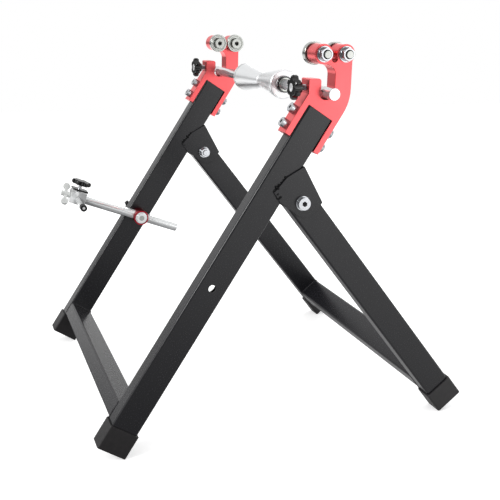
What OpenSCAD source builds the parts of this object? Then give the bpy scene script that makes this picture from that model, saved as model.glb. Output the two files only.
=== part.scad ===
// Wheel truing stand. A folding frame of rectangular tube carries two open
// heads. The heads hold a plain shaft with two centring cones for truing a
// wheel, and two pairs of ball bearings for balancing it. A pointer on a
// clamped arm shows the run-out of the rim.
// +X is to the right, +Y to the rear and +Z up. The floor is z = 0.

/* [Frame] */
// Width over the outer faces of the legs
stand_w = 470; // [400:1:600]
// Wide side of the frame tube, in the plane of the legs
tube_d = 40; // [36:0.5:46]
// Narrow side of the frame tube
tube_t = 25; // [23:0.5:30]
// Wall of the frame tube
tube_wall = 2; // [1.5:0.25:3]
// Outer corner radius of the frame tube
tube_r = 3; // [2.5:0.25:4]
// Front leg, from the sole of its foot to the top of the tube
front_len = 532; // [500:1:600]
// Lean of the front legs to the rear
front_lean = 32.5; // [29:0.2:36]
// Lean of the rear legs to the front
rear_lean = 38.6; // [36:0.2:42]
// Lower side of the crossbars above the sole, along the leg
bar_rise = 36; // [36:1:80]
// Hole for the pointer arm below the top of the tube, along the leg
arm_hole_drop = 272; // [240:1:290]
// Diameter of the hole for the pointer arm
arm_hole = 10.5; // [10.4:0.1:12]

/* [Feet] */
// Wall of the foot caps
foot_wall = 2.5; // [2:0.1:3]
// Height of the foot caps along the leg
foot_h = 35.6; // [30:0.2:38]

/* [Hinge] */
// Hinge bolt below the top of the front tube, along the leg
hinge_drop = 112.2; // [105:0.2:125]
// Hinge axis behind the rear face of the front tube
hinge_back = 25.9; // [25:0.1:28]
// Rear tube beyond the hinge bolt
hinge_tip = 8; // [6:0.5:9]
// Thickness of the bracket sheet
sheet = 2.5; // [2:0.1:3]
// Gap between a bracket's side plates and the tubes
sheet_gap = 0.3; // [0.25:0.05:0.5]
// Gap between the hinge end of the rear leg and the bracket's back
back_gap = 1.2; // [1:0.1:1.6]
// Diameter of the hinge bolts and the roller bolts
bolt_d = 10; // [8:0.5:10]

/* [Heads] */
// Front prong of a head, in front of the tube
prong_front = 8.5; // [7:0.5:10]
// Rear prong of a head, behind the tube
prong_rear = 8; // [7:0.5:10]
// Gap between a prong and the tube
prong_gap = 0.5; // [0.3:0.1:0.8]
// Reach of the prongs down the tube
prong_len = 47.5; // [44:0.5:56]
// Front face of the lug, in front of the tube's top centre
lug_front = 18.2; // [16:0.2:20]
// Top of the lug above the tube's top centre
lug_top = 44.2; // [42:0.2:48]
// Shaft axis behind the tube's top centre
axle_back = 10.5; // [9.5:0.1:11.5]
// Shaft axis above the tube's top centre
axle_up = 25.2; // [24:0.2:27]
// Mouth of the shaft slot, front to rear
slot_w = 19.5; // [18.5:0.1:21]
// Rear edge of the hook behind the tube's top centre
hook_back = 42.3; // [41:0.1:44]
// Radius of the ears that carry the rollers
ear_r = 13; // [11.5:0.25:14]
// Height of the roller axes above the shaft axis
roller_up = 50; // [48:0.2:54]
// Middle of a roller pair behind the shaft axis
roller_back = 6.3; // [5.5:0.1:7]
// Distance between the two roller axes of a head
roller_pitch = 31.4; // [31:0.1:33]

/* [Rollers] */
// Outer diameter of the roller bearings
roller_d = 30; // [26:0.5:30]
// Width of the roller bearings
roller_w = 9; // [8:0.5:12]
// Outer diameter of a bearing's inner ring
ring_d = 17; // [15:0.5:19]
// Length of the spacer behind a roller
spacer_w = 2.5; // [2:0.1:6]

/* [Shaft and cones] */
// Diameter of the shaft
shaft_d = 16; // [14:0.2:16]
// Shaft beyond the outer face of each head
shaft_over = 17.5; // [12:0.5:40]
// Large diameter of the cones
cone_d = 43; // [36:1:56]
// Small diameter of the cones
cone_tip_d = 22.5; // [20:0.5:26]
// Length of a cone with its rim
cone_len = 83; // [60:1:95]
// Width of a cone's straight rim
cone_rim = 7; // [5:0.5:10]
// Outer diameter of the lock rings
lock_d = 24; // [22:0.5:30]
// Width of the lock rings
lock_w = 5.5; // [5:0.25:10]

/* [Clamp screws] */
// Diameter of the clamp screws and the head screws
screw_d = 8; // [6:0.5:8]
// Clamp screw above the shaft axis
clamp_up = 7; // [6.4:0.1:7.6]
// Diameter of the star knobs
knob_d = 32.5; // [28:0.5:36]
// Thickness of the star knobs
knob_h = 9; // [8:0.5:13]
// Bare screw between a knob and the lug
clamp_reach = 6; // [6:0.5:14]

/* [Pointer arm] */
// Slope of the pointer arm
arm_slope = 20; // [10:1:30]
// Diameter of the arm's rod
arm_rod_d = 16; // [14:0.5:17]
// Rod in front of its clamp's axis
arm_front = 112; // [95:1:140]
// Rod behind its clamp's axis
arm_rear = 73; // [40:1:90]
// Diameter of the rod clamp's body
arm_clamp_d = 26; // [26:0.5:30]
// Length of the rod clamp
arm_clamp_len = 30; // [26:0.5:36]
// Rod axis from the leg's inner face
arm_rod_in = 12.5; // [12:0.1:14]
// Diameter of the pointer rod
pointer_d = 8; // [6:0.5:8]
// Pointer rod inwards from the arm's rod
pointer_in = 82; // [50:1:110]
// Pointer rod outwards from the arm's rod
pointer_out = 25; // [20:1:35]

/* [Hidden] */
$fn = 96;

// Cuts run past the faces by this much
over = 1;
// Radial clearance of a piece that turns or slides in a hole
run_gap = 0.06;
// Gap between faces that pass each other
air = 0.3;
// Radial clearance of a bolt in a fixed hole
hole_gap = 0.2;
// Step of the arcs in the outlines, in degrees
arc_step = 6;
// Points of an outline nearer than this are one point
join_gap = 0.01;

// Colours
black_paint = [0.2, 0.2, 0.21];
dark_rubber = [0.27, 0.26, 0.26];
red_metal = [0.86, 0.32, 0.33];
bright_steel = [0.8, 0.81, 0.83];
turned_metal = [0.85, 0.86, 0.88];
black_plastic = [0.12, 0.12, 0.13];
pale_plastic = [0.86, 0.87, 0.86];

// Legs and frame
inner_x = stand_w / 2 - tube_t;
leg_x = stand_w / 2 - tube_t / 2;
foot_half_d = tube_d / 2 + foot_wall;
top_y = front_len * sin(front_lean);
top_z = foot_half_d * sin(front_lean) + front_len * cos(front_lean);
hinge_across = tube_d / 2 + hinge_back;
hinge_y = top_y + along_front(hinge_across, -hinge_drop)[0];
hinge_z = top_z + along_front(hinge_across, -hinge_drop)[1];
rear_len = (hinge_z - foot_half_d * sin(rear_lean)) / cos(rear_lean);
rear_foot_y = hinge_y + rear_len * sin(rear_lean);

// Hinge bracket, across and along the front leg from the hinge bolt
corner_r = sqrt(pow(tube_d / 2, 2) + pow(hinge_tip, 2));
back_in = corner_r + back_gap;
back_turn = 28;
back_run = 15;
cheek_low = 18;
cheek_r = 20.5;
cheek_shift = 4;
cheek_cover = 44.5;
cheek_front_shares = [[0.88, 0.43], [0.97, -0.14], [1, -0.2]];
cheek_foot_share = [0.64, 0.86];
cheek_x = tube_t / 2 + sheet_gap + sheet;

// Heads, from the top centre of the tube
bolt_r = bolt_d / 2;
screw_r = screw_d / 2;
shaft_r = shaft_d / 2;
shaft_len = stand_w + 2 * shaft_over;
seat_r = shaft_r + air;
slot_back = axle_back + seat_r;
slot_front = slot_back - slot_w;
pocket_cut = 2;
pocket_y = slot_front - pocket_cut + seat_r;
roller_y = axle_back + roller_back;
roller_z = axle_up + roller_up;
roof_z = roller_z - ear_r;
roof_r = 13;
notch_r = 4;
blend_r = 60;
lug_back_r = 4;
lug_front_r = 2;
front_out = tube_d / 2 + prong_gap + prong_front;
rear_out = tube_d / 2 + prong_gap + prong_rear;
prong_in = tube_d / 2 + prong_gap;
head_screw_shares = [0.3, 0.76];
head_screw_drops = [for (share = head_screw_shares) prong_len * share];

// Fasteners: the shares are of their own diameter
socket_head_d_share = 1.65;
socket_head_h_share = 1;
low_head_d_share = 1.75;
low_head_h_share = 0.55;
nut_d_share = 1.85;
nut_face_share = 1.6;
nut_h_share = 0.8;
washer_d_share = 2;
hex_key_share = 0.62;
key_depth_share = 0.5;
bolt_end_share = 0.25;
washer_t = 1.6;
flange_d_share = 2.1;
flange_h_share = 0.2;
cheek_turn = -105;

// Rollers
ring_land = 2.6;
shield_dip = 0.5;
ring_edge = 0.6;

// Lock rings
grub_d = 5;
grub_key = 2.5;

// Knobs
knob_lobes = 6;
knob_boss_h = 5;
knob_boss_d = 15;
knob_scallop_r_share = 0.17;
knob_scallop_in_share = 0.03;
knob_edge = 2;
clamp_z = axle_up + clamp_up;
clamp_tip_y = axle_back - sqrt(pow(shaft_r, 2) - pow(clamp_up - screw_r, 2)) - air;
clamp_face_y = -lug_front - clamp_reach;

// Pointer arm: e1 runs along the rod to the front, e2 square to it and up
arm_hole_y = top_y + along_front(0, -arm_hole_drop)[0];
arm_hole_z = top_z + along_front(0, -arm_hole_drop)[1];
arm_rod_r = arm_rod_d / 2;
arm_x = -inner_x + arm_rod_in;
eye_wall = 2.5;
stud_d = arm_rod_d + 2 * eye_wall;
disc_d = 18;
disc_t = 3;
arm_knob_boss = 12;
arm_knob_d_share = 1.25;
arm_knob_twist = 30;
arm_knob_x = -stand_w / 2 - air - arm_knob_boss - knob_h;
block_len = 27;
block_w = 24;
block_h = 22;
block_hold = 8;
pointer_r = pointer_d / 2;
pointer_drop = 2.3;
block_start = arm_front - block_hold;
pointer_on = 2.5;
pointer_at = arm_front + pointer_r + pointer_on;
plate_t = 3;
plate_lift = 1.5;
cross_screw_d = 6;
cross_knob_d = 34;
cross_knob_h = 8;
cross_knob_lift = 7;
cross_knob_z = block_h / 2 + plate_lift + plate_t + cross_knob_lift;
tip_len = 12;
tip_wall = 1.6;
tip_lip = 1.5;
tip_hole_share = 0.6;
wing_hub_d = 9;
wing_hub_len = 15;
wing_screw_d = 5;
wing_reach = 16;
wing_turn = 44;
wing_r = 6;
wing_t = 4.5;
wing_web = 5;

// The origin is on the floor, in the middle of the part's overall box
min_x = min(arm_knob_x, -shaft_len / 2);
max_x = shaft_len / 2;
min_y = -foot_half_d * cos(front_lean);
max_y = rear_foot_y + foot_half_d * cos(rear_lean);
shift_x = -(min_x + max_x) / 2;
shift_y = -(min_y + max_y) / 2;

// Point in the plane of the legs from its place across and along the front leg
function along_front(across, along) = [
    across * cos(front_lean) + along * sin(front_lean),
    -across * sin(front_lean) + along * cos(front_lean)
];

// Points of an arc about c, from one angle to the other
function arc(c, r, from, to) =
    let (steps = ceil(abs(to - from) / arc_step))
    [for (i = [0 : steps]) let (a = from + (to - from) * i / steps) c + r * [cos(a), sin(a)]];

// An outline without the points that meet where two arcs join
function joined(points) = [
    for (i = [0 : len(points) - 1])
        if (norm(points[i] - points[(i + 1) % len(points)]) > join_gap) points[i]
];

// Placing
module stand() translate([shift_x, shift_y, 0]) children();

module on_front_leg() stand()
    translate([0, 0, foot_half_d * sin(front_lean)]) rotate([-front_lean, 0, 0]) children();

module on_front_top() stand() translate([0, top_y, top_z]) rotate([-front_lean, 0, 0]) children();

module on_rear_leg() stand() translate([0, hinge_y, hinge_z]) rotate([rear_lean, 0, 0]) children();

module on_top() stand() translate([0, top_y, top_z]) children();

module on_arm() stand() translate([0, arm_hole_y, arm_hole_z]) rotate([-arm_slope, 0, 0]) children();

// A shape drawn in the plane of the legs, extruded across it from x
module upright(x, w) translate([x, 0, 0]) rotate([90, 0, 90]) linear_extrude(w) children();

// The child's +Z turned to point along +X, to the rear, or to the front
module to_right() rotate([0, 90, 0]) children();
module to_rear() rotate([-90, 0, 0]) children();
module to_front() rotate([90, 0, 0]) children();

// Rectangle with round corners, centred
module round_rect(w, d, r) {
    square([w - 2 * r, d], center = true);
    square([w, d - 2 * r], center = true);
    for (x = [-1, 1], y = [-1, 1])
        translate([x * (w / 2 - r), y * (d / 2 - r)]) circle(r);
}

// Rectangular tube standing on z = 0
module tube(w, d, h) difference() {
    linear_extrude(h) round_rect(w, d, tube_r);
    translate([0, 0, -over])
        linear_extrude(h + 2 * over) round_rect(w - 2 * tube_wall, d - 2 * tube_wall, tube_r - tube_wall);
}

// Fasteners, with the underside of the head or the nut on z = 0
module cap_screw(d, len, head_d, head_h) difference() {
    union() {
        cylinder(h = head_h, d = head_d);
        translate([0, 0, -len]) cylinder(h = len + over, d = d);
    }
    translate([0, 0, head_h - d * key_depth_share])
        cylinder(h = d * key_depth_share + over, d = d * hex_key_share * 2 / sqrt(3), $fn = 6);
}

module hex_nut(d) difference() {
    intersection() {
        cylinder(h = d * nut_h_share, d = d * nut_d_share, $fn = 6);
        cylinder(h = d * nut_h_share, d1 = d * nut_face_share, d2 = d * (nut_face_share + nut_h_share));
        cylinder(h = d * nut_h_share, d1 = d * (nut_face_share + nut_h_share), d2 = d * nut_face_share);
    }
    translate([0, 0, -over]) cylinder(h = d * nut_h_share + 2 * over, d = d);
}

// Hex nut that stands on its own flange, with the flange's face on z = 0
module flange_nut(d) {
    ring(d * flange_d_share, d, d * flange_h_share);
    translate([0, 0, d * flange_h_share]) hex_nut(d);
}

module ring(outer, inner, h) difference() {
    cylinder(h = h, d = outer);
    translate([0, 0, -over]) cylinder(h = h + 2 * over, d = inner);
}

// Star knob on z = 0, with its boss below
module star_knob(d, h, boss_h, bore) difference() {
    union() {
        intersection() {
            linear_extrude(h) difference() {
                circle(d = d);
                for (i = [0 : knob_lobes - 1]) rotate(360 / knob_lobes * i)
                    translate([d * (0.5 + knob_scallop_in_share), 0]) circle(d * knob_scallop_r_share);
            }
            rotate_extrude() polygon([
                [0, 0], [d / 2 - knob_edge, 0], [d / 2, knob_edge], [d / 2, h - knob_edge],
                [d / 2 - knob_edge, h], [0, h]
            ]);
        }
        translate([0, 0, -boss_h]) cylinder(h = boss_h + over, d = knob_boss_d);
    }
    translate([0, 0, -boss_h - over]) cylinder(h = boss_h + h / 2 + over, d = bore);
}

// Frame
module front_leg(side) color(black_paint) difference() {
    on_front_leg() translate([side * leg_x, 0, foot_wall]) tube(tube_t, tube_d, front_len - foot_wall);
    on_front_top() for (drop = head_screw_drops)
        translate([side * leg_x, -tube_d, -drop]) to_rear() cylinder(h = 2 * tube_d, r = screw_r + hole_gap);
    on_front_top() translate([side * leg_x - tube_t, 0, -arm_hole_drop]) to_right()
        cylinder(h = 2 * tube_t, d = arm_hole);
}

module rear_leg(side) color(black_paint) difference() {
    on_rear_leg() translate([side * leg_x, 0, foot_wall - rear_len])
        tube(tube_t, tube_d, rear_len - foot_wall + hinge_tip);
    on_rear_leg() translate([side * leg_x - tube_t, 0, 0]) to_right()
        cylinder(h = 2 * tube_t, r = bolt_r + run_gap);
}

module crossbar() translate([-inner_x, 0, bar_rise + tube_t / 2]) rotate([0, 90, 0])
    tube(tube_t, tube_d, 2 * inner_x);

module front_crossbar() color(black_paint) on_front_leg() crossbar();

module rear_crossbar() color(black_paint) on_rear_leg() translate([0, 0, -rear_len]) crossbar();

module foot(side) color(dark_rubber) translate([side * leg_x, 0, 0]) difference() {
    linear_extrude(foot_h) round_rect(tube_t + 2 * foot_wall, tube_d + 2 * foot_wall, tube_r);
    translate([0, 0, foot_wall]) linear_extrude(foot_h) round_rect(tube_t, tube_d, tube_r);
}

module front_foot(side) on_front_leg() foot(side);

module rear_foot(side) on_rear_leg() translate([0, 0, -rear_len]) foot(side);

// Hinge
function bracket_outline() =
    let (
        back = [sin(back_turn), cos(back_turn)],
        run = [cos(back_turn), -sin(back_turn)],
        reach = back_in + sheet,
        back_top = reach * back - (hinge_back + reach * back[0]) / run[0] * run,
        back_end = reach * back + back_run * run
    )
    [
        for (p = concat(
            [back_end, back_top],
            [for (s = cheek_front_shares) [-s[0] * cheek_cover, s[1] * back_top[1]]],
            [[-cheek_foot_share[0] * cheek_cover, -cheek_foot_share[1] * cheek_low]],
            arc([cheek_shift, cheek_r - cheek_low], cheek_r, cheek_turn, 0)
        )) along_front(p[0], p[1])
    ];

module hinge_bracket(side) color(black_paint)
    stand() translate([0, hinge_y, hinge_z]) difference() {
        upright(side * leg_x - cheek_x, 2 * cheek_x)
            polygon(bracket_outline());
        upright(side * leg_x - tube_t / 2 - sheet_gap, tube_t + 2 * sheet_gap)
            rotate(-front_lean - back_turn) translate([-front_len, -front_len])
                square([2 * front_len, front_len + back_in]);
        rotate([-front_lean, 0, 0])
            translate([side * leg_x - tube_t / 2 - sheet_gap, -hinge_back - 2 * tube_d, -front_len])
                cube([tube_t + 2 * sheet_gap, 2 * tube_d, 2 * front_len]);
        rotate([rear_lean, 0, 0])
            translate([side * leg_x - tube_t / 2 - sheet_gap, -tube_d / 2 - air, -rear_len])
                cube([tube_t + 2 * sheet_gap, tube_d + 2 * air, rear_len + hinge_tip]);
        translate([side * leg_x - tube_t, 0, 0]) to_right() cylinder(h = 2 * tube_t, r = bolt_r + hole_gap);
    }

module hinge_bolts() color(bright_steel) for (side = [-1, 1])
    stand() translate([side * (leg_x + cheek_x + washer_t), hinge_y, hinge_z]) rotate([0, side * 90, 0])
        cap_screw(bolt_d, 2 * cheek_x + 2 * washer_t + bolt_d * (nut_h_share + bolt_end_share),
            bolt_d * low_head_d_share, bolt_d * low_head_h_share);

module hinge_washers() color(bright_steel) for (side = [-1, 1], end = [0, 1])
    stand() translate([side * leg_x - cheek_x - washer_t + end * (2 * cheek_x + washer_t), hinge_y, hinge_z])
        to_right() ring(bolt_d * washer_d_share, bolt_d, washer_t);

module hinge_nuts() color(bright_steel) for (side = [-1, 1])
    stand() translate([side * (leg_x - cheek_x - washer_t), hinge_y, hinge_z]) rotate([0, -side * 90, 0])
        hex_nut(bolt_d);

// Heads
function head_outline() =
    let (
        lean = front_lean,
        rear_meet = (hook_back - rear_out * cos(lean)) / sin(lean),
        blend_up = -rear_out * sin(lean) + rear_meet * cos(lean) + blend_r * tan(lean / 2),
        front_meet = (front_out * cos(lean) - lug_front) / sin(lean),
        ear_back = roller_y + roller_pitch / 2,
        ear_fore = roller_y - roller_pitch / 2,
        notch_dip = sqrt(pow(ear_r + notch_r, 2) - pow(roller_pitch / 2, 2)),
        notch_turn = atan2(notch_dip, roller_pitch / 2),
        pocket_turn = acos((pocket_y - slot_front) / seat_r)
    )
    concat(
        [along_front(-front_out, -prong_len), along_front(-prong_in, -prong_len), along_front(-prong_in, 0),
         along_front(prong_in, 0), along_front(prong_in, -prong_len), along_front(rear_out, -prong_len)],
        arc([hook_back - blend_r, blend_up], blend_r, -lean, 0),
        arc([ear_back, roller_z], ear_r, -acos((hook_back - ear_back) / ear_r), 180 + notch_turn),
        arc([roller_y, roller_z - notch_dip], notch_r, notch_turn, -180 - notch_turn),
        arc([ear_fore, roller_z], ear_r, -notch_turn, 270),
        arc([slot_back - roof_r, roof_z - roof_r], roof_r, 90, 0),
        arc([axle_back, axle_up], seat_r, 0, -90),
        arc([pocket_y, axle_up], seat_r, -90, -180 - pocket_turn),
        arc([slot_front - lug_back_r, lug_top - lug_back_r], lug_back_r, 0, 90),
        arc([-lug_front + lug_front_r, lug_top - lug_front_r], lug_front_r, 90, 180),
        [[-lug_front, front_out * sin(lean) + front_meet * cos(lean)]]
    );

module head(side) color(red_metal) difference() {
    on_top() upright(side * leg_x - tube_t / 2, tube_t) polygon(joined(head_outline()));
    on_front_top() for (drop = head_screw_drops)
        translate([side * leg_x, -2 * front_out, -drop]) to_rear()
            cylinder(h = 4 * front_out, r = screw_r + hole_gap);
    on_top() for (end = [-1, 1])
        translate([side * leg_x - tube_t, roller_y + end * roller_pitch / 2, roller_z]) to_right()
            cylinder(h = 2 * tube_t, r = bolt_r + hole_gap);
    on_top() translate([side * leg_x, -2 * lug_front, clamp_z]) to_rear()
        cylinder(h = 2 * lug_front + slot_front + over, r = screw_r + run_gap);
}

module head_screws() color(bright_steel) for (side = [-1, 1], drop = head_screw_drops)
    on_front_top() translate([side * leg_x, -front_out, -drop]) to_front()
        cap_screw(screw_d, front_out + rear_out + screw_d * (nut_h_share + bolt_end_share),
            screw_d * socket_head_d_share, screw_d * socket_head_h_share);

module head_nuts() color(bright_steel) for (side = [-1, 1], drop = head_screw_drops)
    on_front_top() translate([side * leg_x, rear_out, -drop]) to_rear() hex_nut(screw_d);

// Rollers
module at_rollers(side, ends) for (end = ends)
    on_top() translate([side * inner_x, roller_y + end * roller_pitch / 2, roller_z]) rotate([0, -side * 90, 0])
        children();

module roller_bolts() color(bright_steel) for (side = [-1, 1]) at_rollers(side, [-1, 1])
    translate([0, 0, spacer_w + roller_w])
        cap_screw(bolt_d, spacer_w + roller_w + tube_t + bolt_d * (flange_h_share + nut_h_share + bolt_end_share),
            bolt_d * low_head_d_share, bolt_d * low_head_h_share);

module roller_nuts() color(bright_steel) for (side = [-1, 1]) at_rollers(side, [-1, 1])
    translate([0, 0, -tube_t]) mirror([0, 0, 1]) flange_nut(bolt_d);

module roller_spacers() color(bright_steel) for (side = [-1, 1]) at_rollers(side, [-1, 1])
    ring(ring_d, bolt_d, spacer_w);

module roller_inner_rings() color(bright_steel) for (side = [-1, 1]) at_rollers(side, [-1, 1])
    translate([0, 0, spacer_w]) ring(ring_d, bolt_d, roller_w);

module roller(side, end) color(bright_steel) at_rollers(side, [end]) translate([0, 0, spacer_w])
    rotate_extrude() polygon([
        [ring_d / 2 + run_gap, shield_dip], [roller_d / 2 - ring_land, shield_dip],
        [roller_d / 2 - ring_land, 0], [roller_d / 2 - ring_edge, 0], [roller_d / 2, ring_edge],
        [roller_d / 2, roller_w - ring_edge], [roller_d / 2 - ring_edge, roller_w],
        [roller_d / 2 - ring_land, roller_w], [roller_d / 2 - ring_land, roller_w - shield_dip],
        [ring_d / 2 + run_gap, roller_w - shield_dip]
    ]);

// Shaft and cones
module on_axle() on_top() translate([0, axle_back, axle_up]) children();

module axle_shaft() color(bright_steel) on_axle() translate([-shaft_len / 2, 0, 0]) to_right()
    cylinder(h = shaft_len, d = shaft_d);

module cone(side) color(turned_metal) on_axle() rotate([0, side * 90, 0]) rotate_extrude() polygon([
    [shaft_r + run_gap, air / 2], [cone_tip_d / 2, air / 2], [cone_d / 2, cone_len - cone_rim],
    [cone_d / 2, cone_len], [shaft_r + run_gap, cone_len]
]);

module lock_ring(side) color(black_plastic) on_axle() rotate([0, side * 90, 0]) difference() {
    translate([0, 0, cone_len]) ring(lock_d, shaft_d + 2 * run_gap, lock_w);
    translate([0, 0, cone_len + lock_w / 2]) to_front() cylinder(h = lock_d, d = grub_d);
}

module grub_screw(side) color(bright_steel) on_axle() rotate([0, side * 90, 0])
    translate([0, -shaft_r - run_gap, cone_len + lock_w / 2]) to_front() difference() {
        cylinder(h = (lock_d - shaft_d) / 2 - run_gap, d = grub_d);
        translate([0, 0, (lock_d - shaft_d) / 4]) cylinder(h = lock_d, d = grub_key, $fn = 6);
    }

// Clamp screws
module clamp_screw(side) color(bright_steel)
    on_top() translate([side * leg_x, clamp_face_y - knob_boss_h - knob_h / 2 + air, clamp_z]) to_rear()
        cylinder(h = clamp_tip_y - clamp_face_y + knob_boss_h + knob_h / 2 - air, d = screw_d);

module clamp_knob(side) color(black_plastic)
    on_top() translate([side * leg_x, clamp_face_y - knob_boss_h, clamp_z]) to_front()
        star_knob(knob_d, knob_h, knob_boss_h, screw_d + 2 * run_gap);

// Pointer arm
module arm_clamp() color(red_metal) on_arm() difference() {
    translate([-inner_x + air, 0, 0]) to_right() ring(arm_clamp_d, stud_d, arm_clamp_len - air);
    translate([arm_x, arm_clamp_d, 0]) to_front() cylinder(h = 2 * arm_clamp_d, r = arm_rod_r + run_gap);
}

module arm_stud() color(bright_steel) on_arm() difference() {
    union() {
        translate([-inner_x + air, 0, 0]) to_right() cylinder(h = arm_clamp_len - air, d = stud_d);
        translate([-inner_x + arm_clamp_len, 0, 0]) to_right() cylinder(h = disc_t, d = disc_d);
        translate([-stand_w / 2 - arm_knob_boss - knob_h / 2, 0, 0]) to_right()
            cylinder(h = tube_t + arm_knob_boss + knob_h / 2 + air + over, r = bolt_r);
    }
    translate([arm_x, arm_clamp_d, 0]) to_front() cylinder(h = 2 * arm_clamp_d, r = arm_rod_r + run_gap);
    translate([-inner_x + arm_clamp_len + disc_t / 2, 0, 0]) to_right()
        cylinder(h = disc_t, d = bolt_d * hex_key_share, $fn = 6);
}

module arm_knob() color(black_plastic) on_arm()
    translate([-stand_w / 2 - air - arm_knob_boss, 0, 0]) rotate([0, -90, 0]) rotate([0, 0, arm_knob_twist])
        star_knob(knob_d * arm_knob_d_share, knob_h, arm_knob_boss, bolt_d + 2 * run_gap);

module arm_rod() color(bright_steel) on_arm() translate([arm_x, arm_rear, 0]) to_front()
    cylinder(h = arm_rear + arm_front, r = arm_rod_r);

module cross_clamp() color(bright_steel) on_arm() difference() {
    translate([arm_x - block_w / 2, -block_start - block_len, -block_h / 2])
        cube([block_w, block_len, block_h]);
    translate([arm_x, -block_start + over, 0]) to_front()
        cylinder(h = block_hold + over + air, r = arm_rod_r + run_gap);
    translate([arm_x - block_w, -pointer_at, -pointer_drop]) to_right()
        cylinder(h = 2 * block_w, r = pointer_r + run_gap);
    translate([arm_x, -pointer_at, -pointer_drop]) cylinder(h = block_h, d = cross_screw_d + 2 * run_gap);
    translate([arm_x, -pointer_at, 0]) to_front() cylinder(h = block_len, d = wing_screw_d + 2 * run_gap);
}

module cross_clamp_plate() color(black_plastic) on_arm() difference() {
    translate([arm_x - block_w / 2, -block_start - block_len, block_h / 2 + plate_lift])
        cube([block_w, block_len, plate_t]);
    translate([arm_x, -pointer_at, 0]) cylinder(h = 2 * block_h, d = cross_screw_d + 2 * run_gap);
}

module cross_clamp_screw() color(bright_steel) on_arm()
    translate([arm_x, -pointer_at, -pointer_drop + pointer_r + air])
        cylinder(h = cross_knob_z + cross_knob_h / 2 + pointer_drop - pointer_r - air, d = cross_screw_d);

module cross_clamp_knob() color(black_plastic) on_arm()
    translate([arm_x, -pointer_at, cross_knob_z])
        star_knob(cross_knob_d, cross_knob_h, knob_boss_h, cross_screw_d);

module wing_screw() color(pale_plastic) on_arm() {
    translate([arm_x, -block_start - block_len - air, 0]) to_front() {
        cylinder(h = wing_hub_len, d = wing_hub_d);
        rotate([0, 0, wing_turn]) translate([-wing_t / 2, 0, wing_hub_len / 2]) rotate([0, 90, 0])
            linear_extrude(wing_t) {
                for (end = [-1, 1]) translate([0, end * wing_reach]) circle(wing_r);
                square([wing_web, 2 * wing_reach], center = true);
            }
    }
    translate([arm_x, -pointer_at - pointer_r - air, 0]) to_front()
        cylinder(h = block_start + block_len - pointer_at - pointer_r + over, d = wing_screw_d);
}

module pointer_rod() color(bright_steel) on_arm()
    translate([arm_x - pointer_out, -pointer_at, -pointer_drop]) to_right()
        cylinder(h = pointer_out + pointer_in, r = pointer_r);

module pointer_tip() color(black_plastic) on_arm()
    translate([arm_x + pointer_in - tip_len, -pointer_at, -pointer_drop]) to_right()
        union() {
            ring(pointer_d + 2 * tip_wall, pointer_d, tip_len);
            translate([0, 0, tip_len]) ring(pointer_d + 2 * tip_wall, pointer_d * tip_hole_share, tip_lip);
        }

front_leg(-1);  // left_front_leg
front_leg(1);  // right_front_leg
front_crossbar();
front_foot(-1);  // left_front_foot
front_foot(1);  // right_front_foot
hinge_bracket(-1);  // left_hinge_bracket
hinge_bracket(1);  // right_hinge_bracket
hinge_bolts();
hinge_washers();
hinge_nuts();
rear_leg(-1);  // left_rear_leg
rear_leg(1);  // right_rear_leg
rear_crossbar();
rear_foot(-1);  // left_rear_foot
rear_foot(1);  // right_rear_foot
head(-1);  // left_head
head(1);  // right_head
head_screws();
head_nuts();
roller_bolts();
roller_nuts();
roller_spacers();
roller_inner_rings();
roller(-1, -1);  // left_front_roller
roller(-1, 1);  // left_rear_roller
roller(1, -1);  // right_front_roller
roller(1, 1);  // right_rear_roller
axle_shaft();
cone(-1);  // left_cone
lock_ring(-1);  // left_lock_ring
grub_screw(-1);  // left_grub_screw
cone(1);  // right_cone
lock_ring(1);  // right_lock_ring
grub_screw(1);  // right_grub_screw
clamp_screw(-1);  // left_clamp_screw
clamp_knob(-1);  // left_clamp_knob
clamp_screw(1);  // right_clamp_screw
clamp_knob(1);  // right_clamp_knob
arm_clamp();
arm_stud();
arm_knob();
arm_rod();
cross_clamp();
cross_clamp_plate();
cross_clamp_screw();
cross_clamp_knob();
wing_screw();
pointer_rod();
pointer_tip();
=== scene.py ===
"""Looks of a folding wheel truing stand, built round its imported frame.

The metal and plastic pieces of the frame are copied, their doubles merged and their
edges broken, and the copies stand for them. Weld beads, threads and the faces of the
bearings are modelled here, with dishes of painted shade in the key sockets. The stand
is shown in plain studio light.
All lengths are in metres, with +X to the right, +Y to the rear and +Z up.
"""

import logging
import math
import random
from dataclasses import dataclass, field
from enum import Enum

import bpy
from mathutils import Matrix, Vector


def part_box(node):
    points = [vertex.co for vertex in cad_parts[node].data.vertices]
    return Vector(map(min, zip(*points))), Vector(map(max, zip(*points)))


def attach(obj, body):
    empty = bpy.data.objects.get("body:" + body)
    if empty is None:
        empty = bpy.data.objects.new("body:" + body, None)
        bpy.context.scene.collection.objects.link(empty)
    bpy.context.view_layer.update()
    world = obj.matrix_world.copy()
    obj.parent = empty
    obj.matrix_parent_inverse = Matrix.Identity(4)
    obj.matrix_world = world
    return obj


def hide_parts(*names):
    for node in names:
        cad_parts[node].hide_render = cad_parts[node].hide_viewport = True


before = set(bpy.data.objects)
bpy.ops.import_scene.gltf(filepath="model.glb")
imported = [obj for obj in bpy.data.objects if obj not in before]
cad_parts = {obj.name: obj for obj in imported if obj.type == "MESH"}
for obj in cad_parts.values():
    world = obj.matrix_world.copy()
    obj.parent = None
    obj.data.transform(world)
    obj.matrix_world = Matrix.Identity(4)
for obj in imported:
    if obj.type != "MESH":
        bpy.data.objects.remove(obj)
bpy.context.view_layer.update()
LOG = logging.getLogger("truing_stand")
MM = 0.001
SIDES = ("left", "right")
ENDS = ("front", "rear")
OUTWARDS = {"left": Vector((-1, 0, 0)), "right": Vector((1, 0, 0))}
AHEAD = Vector((0, -1, 0))
FRONT_LEAN_DEG = 32.5
REAR_LEAN_DEG = 38.6
Profile = tuple[tuple[float, float], ...]

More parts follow.
